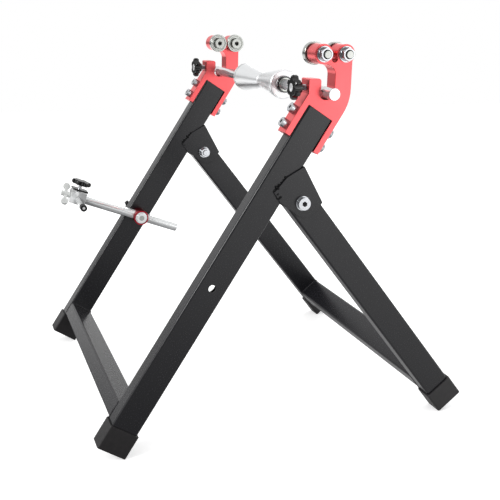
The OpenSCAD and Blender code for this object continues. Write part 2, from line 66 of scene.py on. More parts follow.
# Points of a copied frame mesh that lie closer are one point, and flatter edges are dissolved
COPY_MERGE_MM = 0.002
COPY_FLAT_DEG = 0.5
BEVEL_STEPS = 2
EVEN_WEIGHT = 80
# Points on the axis of a turned profile that lie closer are one point
LATHE_MERGE_MM = 0.001
LATHE_SHARP_DEG = 30
# A thread's flank and depth as shares of its pitch, the flats of one turn, and the share of a turn
# that is left free for the run-out at its end
FLANK_SHARE = 0.46
DEPTH_SHARE = 0.52
THREAD_FLATS = 28
THREAD_SHARP_DEG = 40
RUN_OUT_TURNS = 0.9
# A key socket's dish of painted shade: share of the socket's radius and height in millimetres
DISH: Profile = ((0.0, 0.0), (0.0, 0.2), (0.8, 0.25), (0.96, 0.9), (1.0, 0.9), (1.0, 0.0))
DISH_RIM_MM = 0.9
DISH_FLATS = 24
# A weld ripple's length as a share of its width, its flats round and along, and the grid on
# which ripples grow together
RIPPLE_SHARE = 0.62
RIPPLE_FLATS = (12, 8)
RIPPLE_GRID_MM = 0.45
RIPPLE_SEED = 7
# The wave node repeats its bands every 0.314 / Scale metres
WAVE_M = 0.314


@dataclass(frozen=True)
class Ramp:
    """A value that rises or falls evenly between two ends of another value."""

    start: float
    end: float
    low: float
    high: float

    def inputs(self, value: bpy.types.NodeSocket) -> dict:
        """Gives the inputs of a Map Range node that follows a value along the ramp."""
        return {
            "Value": value, "From Min": self.start, "From Max": self.end,
            "To Min": self.low, "To Max": self.high,
        }


class Slot(Enum):
    """Material slots of the record that the finishes belong to."""

    FRAME = "frame_paint"
    FOOT = "foot_cap"
    RED = "red_anodised"
    TURNED = "turned_aluminium"
    BEARING = "bearing_steel"
    BRIGHT = "bright_steel"
    BLACK = "black_plastic"
    PALE = "pale_plastic"


def linear(colour: str) -> tuple[float, float, float, float]:
    """Turns an sRGB hex colour into linear light.

    Args:
        colour: Six hex digits after a hash sign.

    Returns:
        Red, green, blue and alpha, each from 0 to 1.
    """
    parts = [int(colour[i : i + 2], 16) / 255 for i in (1, 3, 5)]
    light = [c / 12.92 if c <= 0.04045 else ((c + 0.055) / 1.055) ** 2.4 for c in parts]
    return (light[0], light[1], light[2], 1.0)


def add_node(tree: bpy.types.NodeTree, kind: str, settings: dict, inputs: dict) -> bpy.types.Node:
    """Adds one node with its settings, its values and its incoming links.

    Args:
        tree: Node tree that the node goes into.
        kind: Blender's name for the node type.
        settings: Properties of the node.
        inputs: For each input, a value or the output socket that feeds it.

    Returns:
        The new node.
    """
    node = tree.nodes.new(kind)
    for name, value in settings.items():
        setattr(node, name, value)
    for name, value in inputs.items():
        if isinstance(value, bpy.types.NodeSocket):
            tree.links.new(value, node.inputs[name])
        else:
            node.inputs[name].default_value = value
    return node


def select_only(*objects: bpy.types.Object) -> None:
    """Deselects everything, then selects some objects and makes the first one active.

    Args:
        objects: The objects to select.
    """
    bpy.ops.object.select_all(action="DESELECT")
    for obj in objects:
        obj.select_set(True)
    bpy.context.view_layer.objects.active = objects[0]


def new_primitive() -> bpy.types.Object:
    """Returns the primitive that was just added."""
    return bpy.context.active_object


def placed(axis: Vector, place: Vector) -> Matrix:
    """Gives the matrix that turns +Z to an axis and moves the origin to a place."""
    return Matrix.Translation(place) @ axis.to_track_quat("Z", "Y").to_matrix().to_4x4()


def copies(name: str, pattern: bpy.types.Object, places: list[Matrix]) -> bpy.types.Object:
    """Copies a modelled piece to each place, each with its own mesh, and joins the copies.

    Args:
        name: Name of the joined piece.
        pattern: Piece at the origin, which is removed afterwards.
        places: Where the copies go.

    Returns:
        The joined piece, at the origin.
    """
    made = []
    for place in places:
        mesh = pattern.data.copy()
        mesh.transform(place)
        obj = bpy.data.objects.new(name, mesh)
        bpy.context.scene.collection.objects.link(obj)
        made.append(obj)
    bpy.data.objects.remove(pattern)
    select_only(*made)
    if len(made) > 1:
        bpy.ops.object.join()
    return made[0]


def turned(profile_mm: Profile, flats: int = 64) -> bpy.types.Object:
    """Turns a closed profile round +Z, as on a lathe.

    Args:
        profile_mm: Radius and height of each point of the profile, in order.
        flats: Flats round the axis.

    Returns:
        The turned piece at the origin.
    """
    bpy.ops.object.select_all(action="DESELECT")
    bpy.ops.mesh.primitive_circle_add(vertices=len(profile_mm), radius=1)
    piece = new_primitive()
    for vertex, (radius, height) in zip(piece.data.vertices, profile_mm):
        vertex.co = (radius * MM, 0, height * MM)
    bpy.ops.object.mode_set(mode="EDIT")
    bpy.ops.mesh.select_all(action="SELECT")
    bpy.ops.mesh.spin(steps=flats, angle=2 * math.pi, center=(0, 0, 0), axis=(0, 0, 1))
    bpy.ops.mesh.select_all(action="SELECT")
    bpy.ops.mesh.remove_doubles(threshold=LATHE_MERGE_MM * MM)
    bpy.ops.mesh.normals_make_consistent(inside=False)
    bpy.ops.object.mode_set(mode="OBJECT")
    bpy.ops.object.shade_smooth_by_angle(angle=math.radians(LATHE_SHARP_DEG))
    return piece


def wound_thread(diameter_mm: float, pitch_mm: float, length_mm: float) -> bpy.types.Object:
    """Winds a thread's ridge up +Z round a core.

    Args:
        diameter_mm: Diameter over the thread's crests.
        pitch_mm: Rise of one turn.
        length_mm: Length of the thread.

    Returns:
        The ridge at the origin.
    """
    bpy.ops.object.select_all(action="DESELECT")
    bpy.ops.mesh.primitive_circle_add(vertices=3, radius=1)
    ridge = new_primitive()
    flank = pitch_mm * FLANK_SHARE
    corners = ((-DEPTH_SHARE * pitch_mm, -flank), (0, 0), (-DEPTH_SHARE * pitch_mm, flank))
    for vertex, (out, up) in zip(ridge.data.vertices, corners):
        vertex.co = ((diameter_mm / 2 + out) * MM, 0, (up + pitch_mm / 2) * MM)
    wind = ridge.modifiers.new("thread", "SCREW")
    wind.screw_offset = pitch_mm * MM
    wind.iterations = max(1, int(length_mm / pitch_mm - RUN_OUT_TURNS))
    wind.steps = wind.render_steps = THREAD_FLATS
    wind.use_merge_vertices = False
    bpy.ops.object.modifier_apply(modifier=wind.name)
    bpy.ops.object.mode_set(mode="EDIT")
    bpy.ops.mesh.select_all(action="SELECT")
    bpy.ops.mesh.fill_holes(sides=3)
    bpy.ops.mesh.normals_make_consistent(inside=False)
    bpy.ops.object.mode_set(mode="OBJECT")
    bpy.ops.object.shade_smooth_by_angle(angle=math.radians(THREAD_SHARP_DEG))
    return ridge


def socket_shade_dishes(
    name: str, faces: list[tuple[Vector, Vector]], key_mm: float, depth_mm: float,
) -> bpy.types.Object:
    """Lines the bottom of each screw's key socket with a dish of painted shade.

    Args:
        name: Name of the piece.
        faces: Middle of each screw's face, and the way that the face looks.
        key_mm: Width of the key across its flats.
        depth_mm: Depth of the dish's rim below the screw's face.

    Returns:
        The dishes as one piece.
    """
    dish = turned(tuple((share * key_mm / 2, height) for share, height in DISH), DISH_FLATS)
    places = [placed(look, face - look * (depth_mm + DISH_RIM_MM) * MM) for face, look in faces]
    return copies(name, dish, places)


def weld_bead(
    name: str, runs: list[list[Vector]], radius_mm: float, pitch_share: float, unevenness: float,
) -> bpy.types.Object:
    """Lays a weld bead along each run: overlapping ripples that are grown together.

    Args:
        name: Name of the piece.
        runs: Points that each bead follows.
        radius_mm: Radius of the bead.
        pitch_share: Distance of the ripples as a share of the radius.
        unevenness: How far the ripples' sizes differ from the mean.

    Returns:
        The beads as one piece.
    """
    chance = random.Random(RIPPLE_SEED)
    flats, rings = RIPPLE_FLATS
    bpy.ops.object.select_all(action="DESELECT")
    bpy.ops.mesh.primitive_uv_sphere_add(segments=flats, ring_count=rings, radius=radius_mm * MM)
    ripple = new_primitive()
    bpy.ops.object.mode_set(mode="EDIT")
    bpy.ops.mesh.select_all(action="SELECT")
    bpy.ops.transform.resize(value=(1.0, 1.0, RIPPLE_SHARE))
    bpy.ops.object.mode_set(mode="OBJECT")
    places = []
    for run in runs:
        for start, end in zip(run, run[1:]):
            steps = max(1, round((end - start).length / (radius_mm * pitch_share * MM)))
            for step in range(steps + 1):
                size = chance.uniform(1 - unevenness, 1 + unevenness)
                at = start.lerp(end, step / steps)
                places.append(placed(end - start, at) @ Matrix.Scale(size, 4))
    bead = copies(name, ripple, places)
    grow = bead.modifiers.new("grown together", "REMESH")
    grow.mode = "VOXEL"
    grow.voxel_size = RIPPLE_GRID_MM * MM
    grow.use_smooth_shade = True
    bpy.ops.object.modifier_apply(modifier=grow.name)
    return bead


@dataclass(frozen=True)
class Finish:
    """A surface finish that a maker would name, as one node material.

    Attributes:
        name: Name of the material.
        colour: Main colour, as sRGB hex.
        shade: Colour of its faint cloudy patches, as sRGB hex.
        slot: Material slot of the record; not used.
        metallic: 1 for bare metal, 0 for paint and plastic.
        roughness: Mean roughness.
        spread: How far the grain moves the roughness up and down.
        grain_mm: Size of the grain.
        depth_mm: Height of the grain or of the turning marks.
        stretch: Scale of the grain along each axis, for brushed plate.
        patch_mm: Size of the cloudy patches.
        ring_mm: Distance of turning marks, or 0 for none.
        gloss_level: Strength of the clear reflection, 0.5 for an IOR of 1.5.
    """

    name: str
    colour: str
    shade: str
    slot: Slot
    metallic: float = 0.0
    roughness: float = 0.4
    spread: float = 0.05
    grain_mm: float = 1.0
    depth_mm: float = 0.01
    stretch: tuple[float, float, float] = (1.0, 1.0, 1.0)
    patch_mm: float = 40.0
    ring_mm: float = 0.0
    gloss_level: float = 0.5

    def material(self) -> bpy.types.Material:
        """Builds the material the first time, and finds it after that.

        Returns:
            The material, which reads Object coordinates.
        """
        ready = bpy.data.materials.get(self.name)
        if ready:
            return ready
        mat = bpy.data.materials.new(self.name)
        mat.use_nodes = True
        tree = mat.node_tree
        tree.nodes.clear()
        place = add_node(tree, "ShaderNodeTexCoord", {}, {})
        patches = add_node(
            tree, "ShaderNodeTexNoise", {},
            {"Vector": place.outputs["Object"], "Scale": 1 / (self.patch_mm * MM), "Detail": 3.0},
        )
        colour = add_node(
            tree, "ShaderNodeMix", {"data_type": "RGBA"},
            {0: patches.outputs["Fac"], 6: linear(self.colour), 7: linear(self.shade)},
        )
        along = add_node(
            tree, "ShaderNodeMapping", {"vector_type": "POINT"},
            {"Vector": place.outputs["Object"], "Scale": self.stretch},
        )
        grain = add_node(
            tree, "ShaderNodeTexNoise", {},
            {"Vector": along.outputs["Vector"], "Scale": 1 / (self.grain_mm * MM), "Detail": 2.0},
        )
        haze = Ramp(0.0, 1.0, self.roughness - self.spread, self.roughness + self.spread)
        rough = add_node(tree, "ShaderNodeMapRange", {}, haze.inputs(grain.outputs["Fac"]))
        height = grain.outputs["Fac"]
        if self.ring_mm:
            rings = add_node(
                tree, "ShaderNodeTexWave", {"wave_type": "BANDS", "bands_direction": "X"},
                {"Vector": place.outputs["Object"], "Scale": WAVE_M / (self.ring_mm * MM),
                 "Distortion": 0.4},
            )
            height = rings.outputs["Fac"]
        bump = add_node(
            tree, "ShaderNodeBump", {},
            {"Height": height, "Strength": 1.0, "Distance": self.depth_mm * MM},
        )
        shader = add_node(
            tree, "ShaderNodeBsdfPrincipled", {},
            {"Base Color": colour.outputs[2], "Metallic": self.metallic,
             "Roughness": rough.outputs["Result"], "Specular IOR Level": self.gloss_level,
             "Normal": bump.outputs["Normal"]},
        )
        add_node(tree, "ShaderNodeOutputMaterial", {}, {"Surface": shader.outputs["BSDF"]})
        return mat

    def dress(self, obj: bpy.types.Object) -> None:
        """Puts the finish on an object, in place of what it has."""
        obj.data.materials.clear()
        obj.data.materials.append(self.material())


# Satin polyester powder coat: orange peel of about its real size breaks up the reflections
POWDER_COAT = Finish(
    "satin_powder_coat", "#1a1a1d", "#1f1f22", Slot.FRAME, roughness=0.26, spread=0.05,
    grain_mm=1.4, depth_mm=0.015, gloss_level=0.4,
)
# Weld metal under the same paint, drawn near black as painted shade between its ripples, and a little
# duller
WELD_PAINTED_SHADE = Finish(
    "weld_bead_painted_shade", "#060607", "#0c0c0e", Slot.FRAME, roughness=0.42, spread=0.06,
    grain_mm=0.8, depth_mm=0.05, gloss_level=0.15,
)
# Moulded thermoplastic: duller than the paint. Its spark texture is drawn coarser than real,
# at 2.4 mm, so that it shows
MOULDED_CAP = Finish(
    "moulded_cap_plastic", "#19191a", "#2b2829", Slot.FOOT, roughness=0.48, spread=0.08,
    grain_mm=2.4, depth_mm=0.12, patch_mm=7.0, gloss_level=0.45,
)
# Brushed and dyed anodised plate: the sheen follows the brushing across the plate, which is
# drawn coarser than real so that it shows
RED_ANODISED = Finish(
    "red_anodised_aluminium", "#f0686b", "#e85f62", Slot.RED, metallic=1.0, roughness=0.34,
    spread=0.05, grain_mm=0.8, depth_mm=0.006, stretch=(1.0, 1.0, 8.0),
)
# A darker red anodised finish, on the arm's turned clamp ring
DEEP_RED = Finish(
    "deep_red_anodised_ring", "#b3303c", "#a62a36", Slot.RED, metallic=1.0, roughness=0.3,
    spread=0.04, grain_mm=0.8, depth_mm=0.006,
)
# Lathe-turned aluminium: feed marks run round the cone, 0.8 mm apart so that they show
TURNED_ALUMINIUM = Finish(
    "turned_aluminium", "#c9cacd", "#bfc0c3", Slot.TURNED, metallic=1.0, roughness=0.2,
    spread=0.04, grain_mm=1.0, depth_mm=0.008, ring_mm=0.8,
)
# Ground bearing steel: clear grey reflections with soft borders
BEARING_STEEL = Finish(
    "ground_bearing_steel", "#b2b4b0", "#a3a5a1", Slot.BEARING, metallic=1.0, roughness=0.2,
    spread=0.03, grain_mm=0.6, depth_mm=0.002,
)
# Hard chrome on the centring shaft: a clear mirror with a slight haze
CHROMED_BAR = Finish(
    "hard_chrome_bar", "#e6e8ea", "#dcdee0", Slot.BEARING, metallic=0.75, roughness=0.14,
    spread=0.03, grain_mm=1.5, depth_mm=0.002,
)
# Pressed bearing shield: the same steel, with softer reflections
PRESSED_SHIELD = Finish(
    "pressed_steel_shield", "#b4b6b2", "#a8aaa6", Slot.BEARING, metallic=1.0, roughness=0.26,
    spread=0.03, grain_mm=0.8, depth_mm=0.002,
)
# Bright zinc plate: clear reflections with a faint cloudiness
BRIGHT_ZINC = Finish(
    "bright_zinc_plate", "#c6c8cb", "#babcc0", Slot.BRIGHT, metallic=0.9, roughness=0.16,
    spread=0.04, grain_mm=2.0, depth_mm=0.003,
)
# Chrome over ground steel, half of it a white diffuse coat: painted sheen that keeps it bright from all
# round
CHROME_PAINTED_SHEEN = Finish(
    "chrome_plate_painted_sheen", "#f8fafa", "#eef0f0", Slot.BRIGHT, metallic=0.5, roughness=0.1,
    spread=0.03, grain_mm=1.5, depth_mm=0.003,
)
# Bright dipped block of the cross clamp, half of it a white diffuse coat as on the rods: painted sheen that
# keeps it pale, with sharper reflections
DIPPED_PAINTED_SHEEN = Finish(
    "dipped_block_painted_sheen", "#fafbfb", "#f2f4f4", Slot.BRIGHT, metallic=0.5, roughness=0.05,
    spread=0.03, grain_mm=1.5, depth_mm=0.003,
)
# Polished phenolic moulding: deep black with sharp highlights
PHENOLIC = Finish(
    "polished_phenolic", "#070708", "#0b0b0c", Slot.BLACK, roughness=0.1, spread=0.03,
    grain_mm=3.0, depth_mm=0.004, gloss_level=0.6,
)
# Socket bottoms drawn near black: painted shade deep in the key sockets
SOCKET_PAINTED_SHADE = Finish(
    "socket_bottom_painted_shade", "#101011", "#1a1a1b", Slot.BRIGHT, roughness=0.5, spread=0.05,
    grain_mm=0.8, depth_mm=0.004, gloss_level=0.2,
)
# Dark dull nylon of the pointer's tip. The same colour rings the bore of each bright lock nut as painted
# shade in its chamfer
DARK_NYLON_AND_SHADE = Finish(
    "dark_nylon_and_bore_shade", "#161618", "#1c1c1e", Slot.BLACK, roughness=0.5, spread=0.05,
    grain_mm=1.0, depth_mm=0.006, gloss_level=0.3,
)
# Natural nylon: milky white with a soft sheen
NATURAL_NYLON = Finish(
    "natural_nylon", "#dfe1df", "#d4d6d4", Slot.PALE, roughness=0.4, spread=0.05,
    grain_mm=2.0, depth_mm=0.006,
)


@dataclass
class Part:
    """Base of the sub-assemblies: makes copies of frame nodes with broken edges."""

    made: list[str] = field(default_factory=list)

    def join_body(self, piece: bpy.types.Object, finish: Finish, body: str, *nodes: str) -> None:
        """Dresses a piece, makes it move with a body, hides the frame nodes that it stands for and notes
        its name.

        Args:
            piece: The finished piece.
            finish: Its surface finish.
            body: Body of the frame that it moves with.
            nodes: Frame nodes that it stands for.
        """
        finish.dress(piece)
        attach(piece, body)
        if nodes:
            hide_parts(*nodes)
        self.made.append(piece.name)

    def broken_edges(
        self, node: str, name: str, body: str, finish: Finish, edge_mm: float, sharp: float = 30.0,
        trim: tuple[Vector, Vector] | None = None, cutter: bpy.types.Object | None = None,
    ) -> bpy.types.Object:
        """Copies a frame node as one clean mesh and bevels its sharp edges.

        Args:
            node: Frame node that the copy stands for.
            name: Name of the new piece.
            body: Body that the piece moves with.
            finish: Surface finish of the piece.
            edge_mm: Width of the bevel in millimetres.
            sharp: Edges that turn by more than this many degrees are bevelled.
            trim: Point and normal of a plane, past which the piece is cut off.
            cutter: Solid that is cut out of the piece and removed.

        Returns:
            The new piece.
        """
        piece = bpy.data.objects.new(name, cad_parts[node].data.copy())
        bpy.context.scene.collection.objects.link(piece)
        select_only(piece)
        bpy.ops.mesh.customdata_custom_splitnormals_clear()
        bpy.ops.object.mode_set(mode="EDIT")
        bpy.ops.mesh.select_all(action="SELECT")
        bpy.ops.mesh.remove_doubles(threshold=COPY_MERGE_MM * MM)
        bpy.ops.mesh.dissolve_limited(angle_limit=math.radians(COPY_FLAT_DEG))
        if trim:
            bpy.ops.mesh.select_all(action="SELECT")
            bpy.ops.mesh.bisect(plane_co=trim[0], plane_no=trim[1], use_fill=True, clear_outer=True)
        bpy.ops.object.mode_set(mode="OBJECT")
        if cutter:
            cut = piece.modifiers.new("opening", "BOOLEAN")
            cut.operation = "DIFFERENCE"
            cut.object = cutter
            bpy.ops.object.modifier_apply(modifier=cut.name)
            bpy.data.objects.remove(cutter)
        if edge_mm:
            bevel = piece.modifiers.new("broken edge", "BEVEL")
            bevel.width = edge_mm * MM
            bevel.segments = BEVEL_STEPS
            bevel.limit_method = "ANGLE"
            bevel.angle_limit = math.radians(sharp)
            bevel.use_clamp_overlap = False
            bpy.ops.object.modifier_apply(modifier=bevel.name)
        bpy.ops.object.shade_smooth_by_angle(angle=math.radians(sharp))
        even = piece.modifiers.new("even shading", "WEIGHTED_NORMAL")
        even.keep_sharp = True
        even.weight = EVEN_WEIGHT
        bpy.ops.object.modifier_apply(modifier=even.name)
        self.join_body(piece, finish, body, node)
        return piece


def middle(node: str) -> Vector:
    """Gives the middle of a frame node's box."""
    low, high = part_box(node)
    return (Vector(low) + Vector(high)) / 2


def face_middle(node: str, look: Vector) -> Vector:
    """Gives the middle of one side of a frame node's box.

    Args:
        node: Name of the frame node.
        look: Unit vector along the axis that the side looks along.

    Returns:
        The middle of that side.
    """
    low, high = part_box(node)
    place = middle(node)
    for axis, way in enumerate(look):
        if way:
            place[axis] = high[axis] if way > 0 else low[axis]
    return place


@dataclass
class Stand(Part):
    """The welded frames: legs, crossbars, hinge brackets and foot caps.

    A bead has its radius in millimetres, its ripples' distance as a share of that radius, and
    how far their sizes differ. The bars' size is their depth, height and rise from the sole.
    """

    leg_edge_mm: float = 0.3
    bracket_edge_mm: float = 0.5
    cap_edge_mm: float = 0.5
    bar_bead: tuple[float, float, float] = (1.5, 0.9, 0.15)
    bar_bead_in_mm: tuple[float, float, float] = (0.4, 0.6, 0.3)
    bracket_bead: tuple[float, float, float] = (3.2, 1.5, 0.4)
    lean_deg: tuple[float, float] = (-FRONT_LEAN_DEG, REAR_LEAN_DEG)
    leg_inner_mm: float = 210.0
    leg_outer_mm: float = 235.0
    bar_mm: tuple[float, float, float] = (40.0, 25.0, 48.5)
    sole_mm: tuple[float, float] = (-262.137, 263.529)
    sole_up_mm: tuple[float, float] = (12.09, 14.04)
    bracket_front_mm: Profile = ((-39.6, 16.4), (-43.4, -5.4), (-33.0, -10.2))
    hole_mm: tuple[float, float] = (-122.439, 231.371)
    opening_mm: Profile = ((0.0, -1.0), (12.6, -1.0), (12.6, 3.5), (0.0, 3.5))

    def build(self) -> None:
        """Makes the tubes, the brackets, the foot caps and the welds between them."""
        for side in SIDES:
            self.tube(f"{side}_front_leg", "front_frame", self.opening() if side == "right" else None)
            self.tube(f"{side}_rear_leg", "rear_frame")
            self.broken_edges(
                f"{side}_hinge_bracket", f"{side}_folded_bracket", "front_frame", POWDER_COAT,
                self.bracket_edge_mm,
            )
            for end in ENDS:
                self.broken_edges(
                    f"{side}_{end}_foot", f"{side}_{end}_cap", f"{end}_frame", MOULDED_CAP,
                    self.cap_edge_mm,
                )
        self.tube("front_crossbar", "front_frame")
        self.tube("rear_crossbar", "rear_frame")
        self.crossbar_welds()
        self.bracket_welds()

    def crossbar_welds(self) -> None:
        """Lays a bead all round both ends of each crossbar."""
        deep, high, rise = self.bar_mm
        end_in, deep_in, high_in = self.bar_bead_in_mm
        low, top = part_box("front_crossbar")
        centre_x = (low[0] + top[0]) / 2
        corners = [(-1, -1), (1, -1), (1, 1), (-1, 1), (-1, -1)]
        for end, lean, sole, up in zip(ENDS, self.lean_deg, self.sole_mm, self.sole_up_mm):
            turn = Matrix.Rotation(math.radians(lean), 4, "X")
            runs = []
            for hand in (-1, 1):
                x = centre_x + hand * (self.leg_inner_mm - end_in) * MM
                runs.append([
                    Vector((x, sole * MM, up * MM)) + turn @ Vector((
                        0, across * (deep / 2 - deep_in) * MM, (rise + along * (high / 2 - high_in)) * MM,
                    ))
                    for across, along in corners
                ])
            bead = weld_bead(f"{end}_crossbar_weld", runs, *self.bar_bead)
            self.join_body(bead, POWDER_COAT, f"{end}_frame")

    def bracket_welds(self) -> None:
        """Lays a bead along the front edge of each bracket's side plates."""
        low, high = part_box("hinge_bolts")
        centre_x, *axis = [(low[i] + high[i]) / 2 for i in range(3)]
        turn = Matrix.Rotation(math.radians(-FRONT_LEAN_DEG), 4, "X")
        for side, hand in zip(SIDES, (-1, 1)):
            runs = []
            for x_mm in (self.leg_inner_mm, self.leg_outer_mm):
                x = centre_x + hand * x_mm * MM
                runs.append([
                    Vector((x, 0, 0)) + Vector((0, *axis)) + turn @ Vector((0, across * MM, along * MM))
                    for across, along in self.bracket_front_mm
                ])
            bead = weld_bead(f"{side}_bracket_weld", runs, *self.bracket_bead)
            # The bead's near-black colour is painted shade round its ripples
            self.join_body(bead, WELD_PAINTED_SHADE, "front_frame")

    def opening(self) -> bpy.types.Object:
        """Makes the cutter of the wide opening in the right leg's inner wall, seen through its hole.

        Returns:
            The cutter, in its place.
        """
        x = middle("axle_shaft").x + self.leg_inner_mm * MM
        place = placed(OUTWARDS["right"], Vector((x, self.hole_mm[0] * MM, self.hole_mm[1] * MM)))
        return copies("inner_wall_opening", turned(self.opening_mm), [place])

    def tube(self, node: str, body: str, cutter: bpy.types.Object | None = None) -> None:
        """Makes one tube with slightly broken saw-cut ends."""
        self.broken_edges(node, f"{node}_tube", body, POWDER_COAT, self.leg_edge_mm, cutter=cutter)


@dataclass
class Heads(Part):
    """The two red heads with their screws. A socket has the key's width and the dish's depth."""

    plate_edge_mm: float = 0.6
    screw_edge_mm: float = 0.5
    hinge_socket_mm: tuple[float, float] = (6.2, 0.5)
    screw_socket_mm: tuple[float, float] = (4.96, 1.0)
    screw_head_mm: float = 8.0
    screw_drops_mm: tuple[float, float] = (14.25, 36.1)
    front_out_mm: float = 29.0
    tube_top_mm: tuple[float, float] = (23.706, 460.773)

    def build(self) -> None:
        """Makes the hook plates, the head screws and their nuts, with painted shade in their key sockets.
        """
        for side in SIDES:
            self.broken_edges(
                f"{side}_head", f"{side}_hook_plate", "front_frame", RED_ANODISED, self.plate_edge_mm,
            )
        for node in ("head_screws", "head_nuts", "hinge_bolts", "hinge_washers", "hinge_nuts"):
            self.broken_edges(node, f"{node}_plated", "front_frame", BRIGHT_ZINC, self.screw_edge_mm)
        hinges = [(face_middle("hinge_bolts", look), look) for look in OUTWARDS.values()]
        bolts = socket_shade_dishes("hinge_socket_shade", hinges, *self.hinge_socket_mm)
        self.join_body(bolts, SOCKET_PAINTED_SHADE, "front_frame")
        screws = socket_shade_dishes("screw_socket_shade", self.screw_faces(), *self.screw_socket_mm)
        self.join_body(screws, SOCKET_PAINTED_SHADE, "front_frame")

    def screw_faces(self) -> list[tuple[Vector, Vector]]:
        """Finds the face of each head screw.

        Returns:
            The middle of each face and the way that it looks.
        """
        turn = Matrix.Rotation(math.radians(-FRONT_LEAN_DEG), 4, "X")
        look = turn @ AHEAD
        out = self.front_out_mm + self.screw_head_mm
        faces = []
        for side in SIDES:
            top = Vector((middle(f"{side}_head").x, self.tube_top_mm[0] * MM, self.tube_top_mm[1] * MM))
            for drop in self.screw_drops_mm:
                faces.append((top + turn @ Vector((0, -out * MM, -drop * MM)), look))
        return faces


@dataclass
class Rollers(Part):
    """The four balancing rollers on their bolts, held by lock nuts."""

    edge_mm: float = 0.3
    bolt_edge_mm: float = 0.8
    pitch_mm: float = 31.4
    width_mm: float = 9.0
    bolt_head_mm: float = 5.5
    socket_mm: tuple[float, float] = (4.4, 3.2)
    shield_in_mm: float = 0.02
    shield_mm: Profile = (
        (9.0, -0.48), (9.0, -0.1), (9.5, 0.0), (11.3, 0.0), (11.75, -0.3), (11.95, -0.3), (11.95, -0.48),
    )
    # A dark ring of painted shade in the chamfer round each lock nut's bore
    bore_shade_mm: Profile = ((5.02, 0.0), (5.02, 0.3), (5.8, 0.3), (6.1, 0.0))

    def build(self) -> None:
        """Makes the bolts, nuts, spacers and bearings."""
        self.broken_edges(
            "roller_bolts", "roller_bolts_plated", "front_frame", PRESSED_SHIELD, self.bolt_edge_mm,
        )
        self.broken_edges("roller_nuts", "roller_nuts_plated", "front_frame", BRIGHT_ZINC, self.edge_mm)
        for node in ("roller_spacers", "roller_inner_rings"):
            self.broken_edges(node, f"{node}_ground", "front_frame", BEARING_STEEL, self.edge_mm)
        for side in SIDES:
            for end in ENDS:
                name = f"{side}_{end}_roller"
                self.broken_edges(name, f"{name}_race", name, BEARING_STEEL, self.edge_mm)
                self.shields(name)
        self.bore_shades()
        self.sockets()

    def sockets(self) -> None:
        """Paints shade into the key sockets of the roller bolts, on the inner faces."""
        faces = []
        for side in SIDES:
            for end in ENDS:
                look = -OUTWARDS[side]
                roller = middle(f"{side}_{end}_roller")
                faces.append((roller + look * (self.width_mm / 2 + self.bolt_head_mm) * MM, look))
        bolts = socket_shade_dishes("roller_socket_shade", faces, *self.socket_mm)
        self.join_body(bolts, SOCKET_PAINTED_SHADE, "front_frame")

    def shields(self, roller: str) -> None:
        """Presses a dished shield into both faces of a bearing.

        Args:
            roller: Frame node and body of the bearing's outer ring.
        """
        out = (self.width_mm / 2 - self.shield_in_mm) * MM
        places = [placed(look, middle(roller) + look * out) for look in OUTWARDS.values()]
        pair = copies(f"{roller}_shields", turned(self.shield_mm), places)
        self.join_body(pair, PRESSED_SHIELD, roller)

    def bore_shades(self) -> None:
        """Sets a dark ring of painted shade into the bore's chamfer on the outer face of each lock nut."""
        half = Vector((0, self.pitch_mm / 2 * MM, 0))
        places = [
            placed(look, face_middle("roller_nuts", look) + end * half)
            for look in OUTWARDS.values() for end in (-1, 1)
        ]
        rings = copies("lock_nut_bore_shade", turned(self.bore_shade_mm), places)
        self.join_body(rings, DARK_NYLON_AND_SHADE, "front_frame")


@dataclass
class Axle(Part):
    """The shaft with its two turned cones and their lock rings."""

    edge_mm: float = 0.6
    grub_edge_mm: float = 0.1
    cone_flats: int = 96
    cone_mm: Profile = (
        (8.06, 0.15), (10.8, 0.15), (11.25, 0.6), (21.3, 75.55), (20.9, 75.7), (20.9, 76.2), (21.5, 76.4),
        (21.5, 82.2), (20.9, 82.9), (20.5, 82.9), (20.2, 82.2), (19.7, 82.2), (19.4, 83.0),
        (13.2, 83.0), (12.9, 82.6), (12.3, 82.6), (12.0, 83.0), (8.06, 83.0),
    )
    sleeve_mm: Profile = (
        (8.08, 88.4), (8.08, 89.3), (9.7, 89.3), (10.2, 88.9), (10.2, 88.4),
    )

    def build(self) -> None:
        """Makes the shaft, the cones, the lock rings and the grub screws."""
        self.broken_edges("axle_shaft", "ground_shaft", "shaft", CHROMED_BAR, self.edge_mm)
        for side in SIDES:
            body = f"{side}_cone"
            place = [placed(OUTWARDS[side], middle("axle_shaft"))]
            cone = copies(f"{body}_turned", turned(self.cone_mm, self.cone_flats), place)
            self.join_body(cone, TURNED_ALUMINIUM, body, body)
            self.broken_edges(f"{side}_lock_ring", f"{side}_lock_collar", body, PHENOLIC, self.edge_mm)
            sleeve = copies(f"{side}_lock_sleeve", turned(self.sleeve_mm), place)
            self.join_body(sleeve, BEARING_STEEL, body)
            self.broken_edges(f"{side}_grub_screw", f"{side}_grub", body, BRIGHT_ZINC, self.grub_edge_mm)


